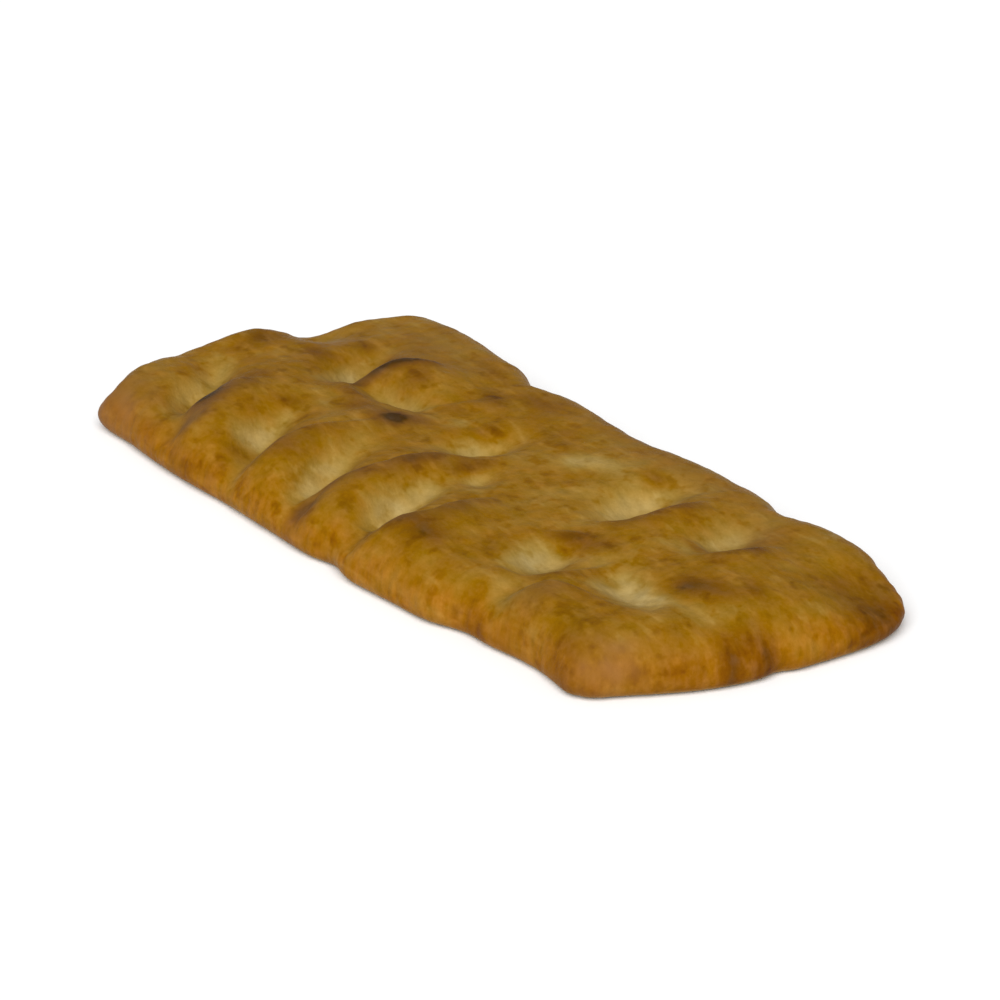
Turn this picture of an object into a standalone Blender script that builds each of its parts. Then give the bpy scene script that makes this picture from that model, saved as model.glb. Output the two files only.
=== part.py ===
"""Parbaked focaccia: one long, flat slab of dough, dimpled by fingers and half baked.

Run it with  blender --background --python part.py  or from Blender's text editor.
Metres, +Z up. The slab lies on its flat underside, long side along X, with the origin under
the middle of its outline. Its front side is -Y, its back +Y, its near end +X, its far end -X.
"""

import math
from collections import namedtuple

import bmesh
import bpy
import numpy as np
from mathutils import Vector

# Driving dimensions of the slab
LENGTH = 0.358
WIDTH = 0.160
THICKNESS = 0.0215
RIM_HEIGHT = 0.0055        # height at which the side is widest
FOOT_INSET = 0.0050        # how far the flat underside stands in from the widest line

# Corner radii in plan, by the signs of X and Y
CORNER_RADIUS = {(-1, -1): 0.006, (-1, 1): 0.040, (1, 1): 0.034, (1, -1): 0.016}
CORNER_CUT = 1 - math.sqrt(0.5)  # share of its radius that a round corner cuts off each side

# How far in the crust rolls over from the widest line up to the top, and how round that roll is
ROLL_FAR = 0.017
ROLL_NEAR = 0.026
ROLL_FRONT = 0.024
ROLL_BACK = 0.019
ROLL_POWER = 2.3

# Mesh density
CELL = 0.0036              # spacing of the points on top
ROLL_STEPS = 6             # rows of points across a rolled edge
FOOT_STEPS = 3             # rows of points from the widest line down to the underside

# The sides wander: each bulge pushes its side out, or in where it is negative, over a stretch
Bulge = namedtuple("Bulge", "side at out reach")
BULGES = (
    Bulge("front", -0.166, 0.0020, 0.014),
    Bulge("front", -0.115, 0.0035, 0.050),
    Bulge("front", 0.011, -0.0035, 0.010),
    Bulge("front", 0.050, -0.0020, 0.025),
    Bulge("front", 0.092, -0.0035, 0.014),
    Bulge("front", 0.142, -0.0175, 0.062),
    Bulge("back", -0.105, -0.0015, 0.030),
    Bulge("back", -0.088, -0.0018, 0.012),
    Bulge("back", -0.060, -0.0080, 0.014),
    Bulge("back", -0.030, -0.0060, 0.060),
    Bulge("back", 0.012, -0.0050, 0.032),
    Bulge("back", 0.096, -0.0058, 0.013),
    Bulge("back", 0.132, 0.0030, 0.026),
    Bulge("back", 0.154, -0.0022, 0.013),
    Bulge("near", 0.008, -0.0020, 0.006),
    Bulge("near", -0.078, -0.0225, 0.048),
    Bulge("far", -0.080, -0.0180, 0.028),
    Bulge("far", 0.055, -0.0100, 0.040),
)
BULGE_FADE = 2             # how fast a bulge fades from its side towards the middle

# Finger dimples: centre, half length and half width, depth, and the way the long side points
Dimple = namedtuple("Dimple", "x y long wide depth turn")
DIMPLES = (
    Dimple(-0.113, 0.014, 0.017, 0.0085, 0.0105, -68),
    Dimple(-0.126, -0.055, 0.021, 0.0090, 0.0095, -58),
    Dimple(-0.142, -0.036, 0.014, 0.0070, 0.0040, -25),
    Dimple(-0.074, -0.056, 0.022, 0.0090, 0.0105, -60),
    Dimple(-0.030, -0.055, 0.026, 0.0090, 0.0100, -66),
    Dimple(0.013, -0.050, 0.024, 0.0090, 0.0095, -72),
    Dimple(-0.016, 0.009, 0.016, 0.0085, 0.0080, 75),
    Dimple(-0.077, 0.008, 0.018, 0.0060, 0.0080, 6),
    Dimple(0.011, -0.009, 0.009, 0.0070, 0.0035, -60),
    Dimple(0.063, 0.029, 0.020, 0.0105, 0.0075, -88),
    Dimple(0.107, 0.036, 0.015, 0.0095, 0.0062, -78),
    Dimple(0.082, -0.027, 0.015, 0.0105, 0.0068, -80),
    Dimple(0.120, -0.018, 0.018, 0.0100, 0.0068, -12),
    Dimple(0.097, -0.057, 0.014, 0.0075, 0.0040, -65),
    Dimple(0.156, -0.011, 0.012, 0.0080, 0.0015, 0),
)

# Folds, where the four long dimples along the front run down over the rolled edge
FOLD_X = (-0.104, -0.059, -0.014, 0.020)
FOLD_Y = -0.079
FOLD_LONG = 0.014
FOLD_WIDE = 0.006
FOLD_DEPTH = 0.005
FOLD_TURN = -79
FOLDS = [Dimple(x, FOLD_Y, FOLD_LONG, FOLD_WIDE, FOLD_DEPTH, FOLD_TURN) for x in FOLD_X]

# Puffed mounds between the dimples, and where a height is negative, places where the slab is thin
Mound = namedtuple("Mound", "x y long wide height turn")
MOUNDS = (
    Mound(-0.168, -0.004, 0.020, 0.014, 0.0013, 70),
    Mound(-0.162, 0.024, 0.018, 0.014, -0.0092, 0),
    Mound(-0.166, -0.034, 0.020, 0.018, -0.0025, 0),
    Mound(-0.172, -0.088, 0.013, 0.015, -0.0110, 0),
    Mound(-0.160, 0.058, 0.030, 0.024, -0.0040, 0),
    Mound(-0.106, -0.045, 0.034, 0.018, 0.0045, -65),
    Mound(-0.052, -0.042, 0.034, 0.015, 0.0045, -70),
    Mound(-0.006, -0.036, 0.034, 0.014, 0.0045, -72),
    Mound(0.038, -0.046, 0.026, 0.016, 0.0035, -72),
    Mound(-0.086, 0.028, 0.022, 0.014, 0.0045, 10),
    Mound(0.085, 0.027, 0.020, 0.013, 0.0030, -70),
    Mound(0.135, 0.018, 0.030, 0.024, 0.0030, 60),
    Mound(0.135, -0.048, 0.030, 0.016, 0.0020, 0),
    Mound(0.113, -0.050, 0.018, 0.010, 0.0025, -65),
    Mound(0.168, 0.062, 0.026, 0.024, -0.0100, 0),
    Mound(0.030, 0.040, 0.050, 0.025, 0.0010, 0),
)

# Crests: the sharp far edge of each mound, where it stands over the dimple behind it. Walking
# along the points, the dimple is on the left. rise is how far the crest stands up, drop how far
# the dimple's foot is cut in, broad how far the crest reaches over its mound.
Crest = namedtuple("Crest", "rise drop broad points")
CRESTS = (
    # behind the four mounds of the front row, from the far end
    Crest(0.0014, 0.0010, 0.014, (
        (-0.098, -0.079), (-0.109, -0.067), (-0.120, -0.056), (-0.121, -0.045), (-0.112, -0.032),
    )),
    Crest(0.0016, 0.0010, 0.010, (
        (-0.056, -0.078), (-0.064, -0.062), (-0.058, -0.046), (-0.053, -0.012),
    )),
    Crest(0.0016, 0.0010, 0.010, (
        (-0.015, -0.079), (-0.025, -0.064), (-0.012, -0.043), (-0.013, -0.016), (0.003, 0.005),
    )),
    Crest(0.0015, 0.0010, 0.009, (
        (0.010, -0.069), (0.036, -0.050), (0.031, -0.034), (0.032, -0.016),
    )),
    # round the two dimples of the far half's back row
    Crest(0.0010, 0.0006, 0.008, ((-0.106, 0.004), (-0.094, -0.004), (-0.058, -0.007))),
    Crest(0.0018, 0.0010, 0.009, (
        (-0.098, 0.001), (-0.102, 0.008), (-0.1025, 0.016), (-0.097, 0.026), (-0.085, 0.038),
    )),
    Crest(0.0006, 0.0003, 0.008, ((-0.063, 0.005), (-0.050, 0.022), (-0.050, 0.040))),
    # in the near half, from the back
    Crest(0.0011, 0.0010, 0.009, ((0.069, 0.004), (0.078, 0.024), (0.082, 0.046))),
    Crest(0.0007, 0.0005, 0.005, ((0.102, 0.025), (0.110, 0.022), (0.118, 0.018))),
    Crest(0.0010, 0.0008, 0.009, ((0.116, 0.013), (0.124, 0.027), (0.127, 0.047))),
    Crest(0.0012, 0.0008, 0.008, ((0.079, -0.050), (0.101, -0.036), (0.101, -0.007))),
    Crest(0.0014, 0.0008, 0.010, (
        (0.101, -0.058), (0.108, -0.041), (0.146, -0.030), (0.142, -0.014),
    )),
    Crest(0.0008, 0.0002, 0.005, ((0.066, -0.019), (0.070, -0.009), (0.079, -0.006))),
)
CREST_STEP = 0.0020        # half the breadth of the step from the dimple's foot up to the crest
CREST_LEAD = 0.0015        # how far behind its line a crest begins to stand up
CREST_FOOT = 0.0030        # how far behind its line the cut at a dimple's foot is deepest
CREST_FOOT_REACH = 0.0050  # how far that cut reaches to both sides
CREST_REACH = 0.03         # beyond this distance a crest changes nothing
CREST_CUTS = 3             # how often the corners of a crest's line are cut to round it

# Finish of the crust
CRUST_COLOUR = (0.36, 0.165, 0.022, 1)
CRUST_ROUGHNESS = 0.5


def hump(x, y, place):
    """1 at the middle of an oval place, falling smoothly to 0 outside it."""
    turn = math.radians(place.turn)
    along = (x - place.x) * math.cos(turn) + (y - place.y) * math.sin(turn)
    across = (y - place.y) * math.cos(turn) - (x - place.x) * math.sin(turn)
    return np.exp(-((along / place.long) ** 2) - (across / place.wide) ** 2)


def crust_height(x, y):
    """Height of the top crust before its edges roll over, without the crests."""
    z = np.full_like(x, THICKNESS)
    for mound in MOUNDS:
        z += mound.height * hump(x, y, mound)
    for dimple in (*DIMPLES, *FOLDS):
        z -= dimple.depth * hump(x, y, dimple)
    return z


def softened(points):
    """The line through the points with its corners cut again and again."""
    line = np.array(points)
    for _ in range(CREST_CUTS):
        early = 0.75 * line[:-1] + 0.25 * line[1:]
        late = 0.25 * line[:-1] + 0.75 * line[1:]
        between = np.stack([early, late], axis=1).reshape(-1, 2)
        line = np.concatenate([line[:1], between, line[-1:]])
    return line


def crest_gap(x, y, crest):
    """Gap to the crest's line, positive on its mound, and its strength, fading at its ends."""
    line = softened(crest.points)
    steps = np.diff(line, axis=0)
    lengths = np.hypot(*steps.T)
    done = np.concatenate([[0], np.cumsum(lengths)])
    gap = np.full_like(x, np.inf)
    right = np.ones_like(x)
    place = np.zeros_like(x)
    for start, step, length, before in zip(line, steps, lengths, done):
        share = ((x - start[0]) * step[0] + (y - start[1]) * step[1]) / length**2
        share = np.clip(share, 0, 1)
        away_x = x - start[0] - share * step[0]
        away_y = y - start[1] - share * step[1]
        here = np.hypot(away_x, away_y)
        nearer = here < gap
        gap = np.where(nearer, here, gap)
        right = np.where(nearer, np.sign(away_x * step[1] - away_y * step[0]), right)
        place = np.where(nearer, before + share * length, place)
    strength = np.sqrt(np.sin(math.pi * place / done[-1]).clip(0, 1))
    return gap * right, strength


def crest_height(x, y):
    """Height that the crests add to the crust."""
    height = np.zeros_like(x)
    for crest in CRESTS:
        line = np.array(crest.points)
        low, high = line.min(0) - CREST_REACH, line.max(0) + CREST_REACH
        close = (x > low[0]) & (x < high[0]) & (y > low[1]) & (y < high[1])
        gap, strength = crest_gap(x[close], y[close], crest)
        top = (1 + np.tanh((gap + CREST_LEAD) / CREST_STEP)) / 2
        rise = crest.rise * top * np.exp(-((gap.clip(0) / crest.broad) ** 2))
        drop = crest.drop * (1 - top) * np.exp(-(((gap + CREST_FOOT) / CREST_FOOT_REACH) ** 2))
        height[close] += strength * (rise - drop)
    return height


def side_push(side, along, share):
    """How far the bulges of one side push a point out. share is 1 on that side, 0 at the middle."""
    push = np.zeros_like(along)
    for bulge in BULGES:
        if bulge.side == side:
            push += bulge.out * np.exp(-(((along - bulge.at) / bulge.reach) ** 2))
    return push * np.clip(share, 0, 1) ** BULGE_FADE


def plan(u, v):
    """Place in plan of points given as shares, -1 to 1, of the half length and the half width."""
    half_x, half_y = LENGTH / 2, WIDTH / 2
    x, y = half_x * u, half_y * v
    for (east, north), radius in CORNER_RADIUS.items():
        here = (np.where(u < 0, -1, 1) == east) & (np.where(v < 0, -1, 1) == north)
        cut_x = CORNER_CUT * radius / half_x
        cut_y = CORNER_CUT * radius / half_y
        fall = math.sqrt((1 - cut_x) * (1 - cut_y)) / (CORNER_CUT * radius)
        x = np.where(here, half_x * u * (1 - cut_x * np.abs(v) ** (fall * half_y)), x)
        y = np.where(here, half_y * v * (1 - cut_y * np.abs(u) ** (fall * half_x)), y)
    pushed_x = x + side_push("near", y, u) - side_push("far", y, -u)
    pushed_y = y + side_push("back", x, v) - side_push("front", x, -v)
    return pushed_x, pushed_y


def rolled(gap, width):
    """Share of the full height reached at a gap in from the widest line."""
    left = 1 - np.clip(gap / width, 0, 1)
    return np.sqrt(1 - left**ROLL_POWER)


def edge_share(u, v):
    """Share of the full height that the rolled edges leave."""
    end_roll = np.where(u < 0, ROLL_FAR, ROLL_NEAR)
    side_roll = np.where(v < 0, ROLL_FRONT, ROLL_BACK)
    ends = rolled((1 - np.abs(u)) * LENGTH / 2, end_roll)
    sides = rolled((1 - np.abs(v)) * WIDTH / 2, side_roll)
    return ends * sides


def grid_lines(size, roll_low, roll_high):
    """Shares from -1 to 1 where the grid's lines run, closer together in the rolled edges."""
    half = size / 2
    inward = [1 - math.cos(math.pi / 2 * step / ROLL_STEPS) for step in range(ROLL_STEPS)]
    low = [-1 + roll_low / half * share for share in inward]
    high = [1 - roll_high / half * share for share in reversed(inward)]
    cells = round((size - roll_low - roll_high) / CELL)
    middle = np.linspace(-1 + roll_low / half, 1 - roll_high / half, cells + 1)
    return np.array([*low, *middle, *high])


def add_top(bm):
    """The dimpled top crust, down to the widest line all round."""
    us = grid_lines(LENGTH, ROLL_FAR, ROLL_NEAR)
    vs = grid_lines(WIDTH, ROLL_FRONT, ROLL_BACK)
    bmesh.ops.create_grid(bm, x_segments=len(us) - 1, y_segments=len(vs) - 1, size=0.5)
    column = np.array([round((vert.co.x + 0.5) * (len(us) - 1)) for vert in bm.verts])
    row = np.array([round((vert.co.y + 0.5) * (len(vs) - 1)) for vert in bm.verts])
    u, v = us[column], vs[row]
    x, y = plan(u, v)
    full = crust_height(x, y) + crest_height(x, y) - RIM_HEIGHT
    z = RIM_HEIGHT + full * edge_share(u, v)
    for vert, place in zip(bm.verts, zip(x, y, z)):
        vert.co = place


def add_foot(bm):
    """The lower part of the side, drawn in from the widest line, and the flat underside."""
    rim = [edge for edge in bm.edges if edge.is_boundary]
    for step in range(1, FOOT_STEPS + 1):
        before = math.pi / 2 * (step - 1) / FOOT_STEPS
        now = math.pi / 2 * step / FOOT_STEPS
        inward = FOOT_INSET * (math.cos(before) - math.cos(now))
        made = bmesh.ops.extrude_edge_only(bm, edges=rim)["geom"]
        rim = [part for part in made if isinstance(part, bmesh.types.BMEdge)]
        for vert in (part for part in made if isinstance(part, bmesh.types.BMVert)):
            vert.co.x *= 1 - inward / (LENGTH / 2)
            vert.co.y *= 1 - inward / (WIDTH / 2)
            vert.co.z = RIM_HEIGHT * (1 - math.sin(now))
    bmesh.ops.contextual_create(bm, geom=rim)


def centre(bm):
    """Moves the slab so that the middle of its outline is over the origin."""
    xs = [vert.co.x for vert in bm.verts]
    ys = [vert.co.y for vert in bm.verts]
    shift = Vector((-(min(xs) + max(xs)) / 2, -(min(ys) + max(ys)) / 2, 0))
    bmesh.ops.translate(bm, verts=bm.verts, vec=shift)


def build_slab():
    """The slab as one closed mesh."""
    bm = bmesh.new()
    add_top(bm)
    add_foot(bm)
    centre(bm)
    bmesh.ops.recalc_face_normals(bm, faces=bm.faces)
    return bm


def crust_material():
    """Golden, half-baked crust."""
    material = bpy.data.materials.new("crust")
    material.use_nodes = True
    shader = material.node_tree.nodes["Principled BSDF"]
    shader.inputs["Base Color"].default_value = CRUST_COLOUR
    shader.inputs["Roughness"].default_value = CRUST_ROUGHNESS
    shader.inputs["Metallic"].default_value = 0.0
    return material


def main():
    for old in list(bpy.data.objects):
        bpy.data.objects.remove(old)
    mesh = bpy.data.meshes.new("focaccia")
    bm = build_slab()
    bm.to_mesh(mesh)
    bm.free()
    mesh.materials.append(crust_material())
    mesh.shade_smooth()
    slab = bpy.data.objects.new("focaccia", mesh)
    bpy.context.scene.collection.objects.link(slab)


main()
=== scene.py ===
"""Parbaked focaccia: the baked surface of the slab, with its floor, light and camera.

The script is laid out as an add-on. Its panel in the 3D view's sidebar lists the slab's main
sizes, the crust's colours and the stage's settings. Metres, +Z up, in the same frame as the
plain slab: long side along X, origin in the middle of the underside, front side -Y, back +Y,
near end +X, far end -X.
"""

import math
from collections import namedtuple

import bmesh
import bpy
import numpy as np
from bpy.props import FloatProperty, FloatVectorProperty, IntProperty, PointerProperty
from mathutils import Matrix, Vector, noise


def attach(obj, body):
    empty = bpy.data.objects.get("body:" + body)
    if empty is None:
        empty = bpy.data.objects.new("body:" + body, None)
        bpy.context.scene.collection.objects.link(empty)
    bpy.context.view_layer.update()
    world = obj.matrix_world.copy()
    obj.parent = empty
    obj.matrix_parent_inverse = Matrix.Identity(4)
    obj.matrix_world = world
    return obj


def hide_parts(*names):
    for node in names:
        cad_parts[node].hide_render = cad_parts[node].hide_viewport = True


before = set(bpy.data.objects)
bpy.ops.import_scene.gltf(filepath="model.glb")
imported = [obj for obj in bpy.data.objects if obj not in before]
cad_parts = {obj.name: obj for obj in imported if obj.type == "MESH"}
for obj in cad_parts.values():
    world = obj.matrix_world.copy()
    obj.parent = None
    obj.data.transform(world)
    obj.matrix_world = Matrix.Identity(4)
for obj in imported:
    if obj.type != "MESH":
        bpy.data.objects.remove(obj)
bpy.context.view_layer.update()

bl_info = {
    "name": "Parbaked Focaccia",
    "version": (1, 0, 0),
    "blender": (4, 5, 0),
    "location": "View3D > Sidebar > Bread",
    "description": "Makes a dimpled, half-baked focaccia and the stage that it is shown on",
    "category": "Add Mesh",
}

# Corner radii in plan, by the signs of X and Y
CORNER_RADIUS = {(-1, -1): 0.006, (-1, 1): 0.040, (1, 1): 0.034, (1, -1): 0.016}
CORNER_CUT = 1 - math.sqrt(0.5)  # share of its radius that a round corner cuts off each side
ROLL_POWER = 2.3           # how round the rolled edge is
BULGE_FADE = 2             # how fast a bulge fades from its side towards the middle

# The sides wander: each bulge pushes its side out, or in where it is negative, over a stretch
Bulge = namedtuple("Bulge", "side at out reach")
BULGES = (
    Bulge("front", -0.166, 0.0020, 0.014),
    Bulge("front", -0.115, 0.0035, 0.050),
    Bulge("front", 0.011, -0.0035, 0.010),
    Bulge("front", 0.050, -0.0020, 0.025),
    Bulge("front", 0.092, -0.0035, 0.014),
    Bulge("front", 0.142, -0.0175, 0.062),
    Bulge("back", -0.105, -0.0015, 0.030),
    Bulge("back", -0.088, -0.0018, 0.012),
    Bulge("back", -0.060, -0.0080, 0.014),
    Bulge("back", -0.030, -0.0060, 0.060),
    Bulge("back", 0.012, -0.0050, 0.032),
    Bulge("back", 0.096, -0.0058, 0.013),
    Bulge("back", 0.132, 0.0030, 0.026),
    Bulge("back", 0.154, -0.0022, 0.013),
    Bulge("near", 0.008, -0.0020, 0.006),
    Bulge("near", -0.078, -0.0225, 0.048),
    Bulge("far", -0.080, -0.0180, 0.028),
    Bulge("far", 0.055, -0.0100, 0.040),
)

# Finger dimples: centre, half length and half width, depth, and the way the long side points
Dimple = namedtuple("Dimple", "x y long wide depth turn")
DIMPLES = (
    Dimple(-0.113, 0.014, 0.017, 0.0085, 0.0105, -68),
    Dimple(-0.126, -0.055, 0.021, 0.0090, 0.0095, -58),
    Dimple(-0.142, -0.036, 0.014, 0.0070, 0.0040, -25),
    Dimple(-0.074, -0.056, 0.022, 0.0090, 0.0105, -60),
    Dimple(-0.030, -0.055, 0.026, 0.0090, 0.0100, -66),
    Dimple(0.013, -0.050, 0.024, 0.0090, 0.0095, -72),
    Dimple(-0.016, 0.009, 0.016, 0.0085, 0.0080, 75),
    Dimple(-0.077, 0.008, 0.018, 0.0060, 0.0080, 6),
    Dimple(0.011, -0.009, 0.009, 0.0070, 0.0035, -60),
    Dimple(0.063, 0.029, 0.020, 0.0105, 0.0075, -88),
    Dimple(0.107, 0.036, 0.015, 0.0095, 0.0062, -78),
    Dimple(0.082, -0.027, 0.015, 0.0105, 0.0068, -80),
    Dimple(0.120, -0.018, 0.018, 0.0100, 0.0068, -12),
    Dimple(0.097, -0.057, 0.014, 0.0075, 0.0040, -65),
    Dimple(0.156, -0.011, 0.012, 0.0080, 0.0015, 0),
)

# Folds, where the four long dimples along the front run down over the rolled edge
FOLD_X = (-0.104, -0.059, -0.014, 0.020)
FOLDS = [Dimple(x, -0.079, 0.014, 0.006, 0.005, -79) for x in FOLD_X]

# Puffed mounds between the dimples, and where a height is negative, thin places in the slab
Mound = namedtuple("Mound", "x y long wide height turn")
MOUNDS = (
    Mound(-0.168, -0.004, 0.020, 0.014, 0.0013, 70),
    Mound(-0.162, 0.024, 0.018, 0.014, -0.0092, 0),
    Mound(-0.166, -0.034, 0.020, 0.018, -0.0025, 0),
    Mound(-0.172, -0.088, 0.013, 0.015, -0.0110, 0),
    Mound(-0.160, 0.058, 0.030, 0.024, -0.0040, 0),
    Mound(-0.106, -0.045, 0.034, 0.018, 0.0045, -65),
    Mound(-0.052, -0.042, 0.034, 0.015, 0.0045, -70),
    Mound(-0.006, -0.036, 0.034, 0.014, 0.0045, -72),
    Mound(0.038, -0.046, 0.026, 0.016, 0.0035, -72),
    Mound(-0.086, 0.028, 0.022, 0.014, 0.0045, 10),
    Mound(0.085, 0.027, 0.020, 0.013, 0.0030, -70),
    Mound(0.135, 0.018, 0.030, 0.024, 0.0030, 60),
    Mound(0.135, -0.048, 0.030, 0.016, 0.0020, 0),
    Mound(0.113, -0.050, 0.018, 0.010, 0.0025, -65),
    Mound(0.168, 0.062, 0.026, 0.024, -0.0100, 0),
    Mound(0.030, 0.040, 0.050, 0.025, 0.0010, 0),
)

# Crests: the sharp far edge of each mound, where it stands over the dimple behind it. Walking
# along the points, the dimple is on the left. rise is how far the crest stands up, drop how far
# the dimple's foot is cut in, broad how far the crest reaches over its mound, dark how browned.
Crest = namedtuple("Crest", "rise drop broad dark points")
CRESTS = (
    # behind the four mounds of the front row, from the far end
    Crest(0.0014, 0.0010, 0.014, 0.24, (
        (-0.098, -0.079), (-0.109, -0.067), (-0.120, -0.056), (-0.121, -0.045), (-0.112, -0.032),
    )),
    Crest(0.0016, 0.0010, 0.010, 0.08, (
        (-0.056, -0.078), (-0.064, -0.062), (-0.058, -0.046), (-0.053, -0.012),
    )),
    Crest(0.0016, 0.0010, 0.010, 0.26, (
        (-0.015, -0.079), (-0.025, -0.064), (-0.012, -0.043), (-0.013, -0.016), (0.003, 0.005),
    )),
    Crest(0.0015, 0.0010, 0.009, 0.20, (
        (0.010, -0.069), (0.036, -0.050), (0.031, -0.034), (0.032, -0.016),
    )),
    # round the two dimples of the far half's back row
    Crest(0.0010, 0.0006, 0.008, 0.16, ((-0.106, 0.004), (-0.094, -0.004), (-0.058, -0.007))),
    Crest(0.0018, 0.0010, 0.009, 0.29, (
        (-0.098, 0.001), (-0.102, 0.008), (-0.1025, 0.016), (-0.097, 0.026), (-0.085, 0.038),
    )),
    Crest(0.0006, 0.0003, 0.008, 0.10, ((-0.063, 0.005), (-0.050, 0.022), (-0.050, 0.040))),
    # in the near half, from the back
    Crest(0.0011, 0.0010, 0.009, 0.15, ((0.069, 0.004), (0.078, 0.024), (0.082, 0.046))),
    Crest(0.0007, 0.0005, 0.005, 0.12, ((0.102, 0.025), (0.110, 0.022), (0.118, 0.018))),
    Crest(0.0010, 0.0008, 0.009, 0.09, ((0.116, 0.013), (0.124, 0.027), (0.127, 0.047))),
    Crest(0.0012, 0.0008, 0.008, 0.05, ((0.079, -0.050), (0.101, -0.036), (0.101, -0.007))),
    Crest(0.0014, 0.0008, 0.010, 0.03, (
        (0.101, -0.058), (0.108, -0.041), (0.146, -0.030), (0.142, -0.014),
    )),
    Crest(0.0008, 0.0002, 0.005, 0.08, ((0.066, -0.019), (0.070, -0.009), (0.079, -0.006))),
)
CREST_STEP = 0.0012        # half the breadth of the step from the dimple's foot up to the crest
CREST_LEAD = 0.0015        # how far behind its line a crest begins to stand up
CREST_FOOT = 0.0030        # how far behind its line the cut at a dimple's foot is deepest
CREST_FOOT_REACH = 0.0050  # how far that cut reaches to both sides
CREST_REACH = 0.03         # beyond this distance a crest changes nothing
CREST_CUTS = 3             # how often the corners of a crest's line are cut to round it
CREST_CUT_SHARE = 0.25     # share of a stretch of the line that one cut takes off at each end
CREST_BROWN_REACH = 0.85   # how far a crest is browned, as a share of how far it reaches
CREST_BROWN_POWER = 3      # how suddenly that brown ends

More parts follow.
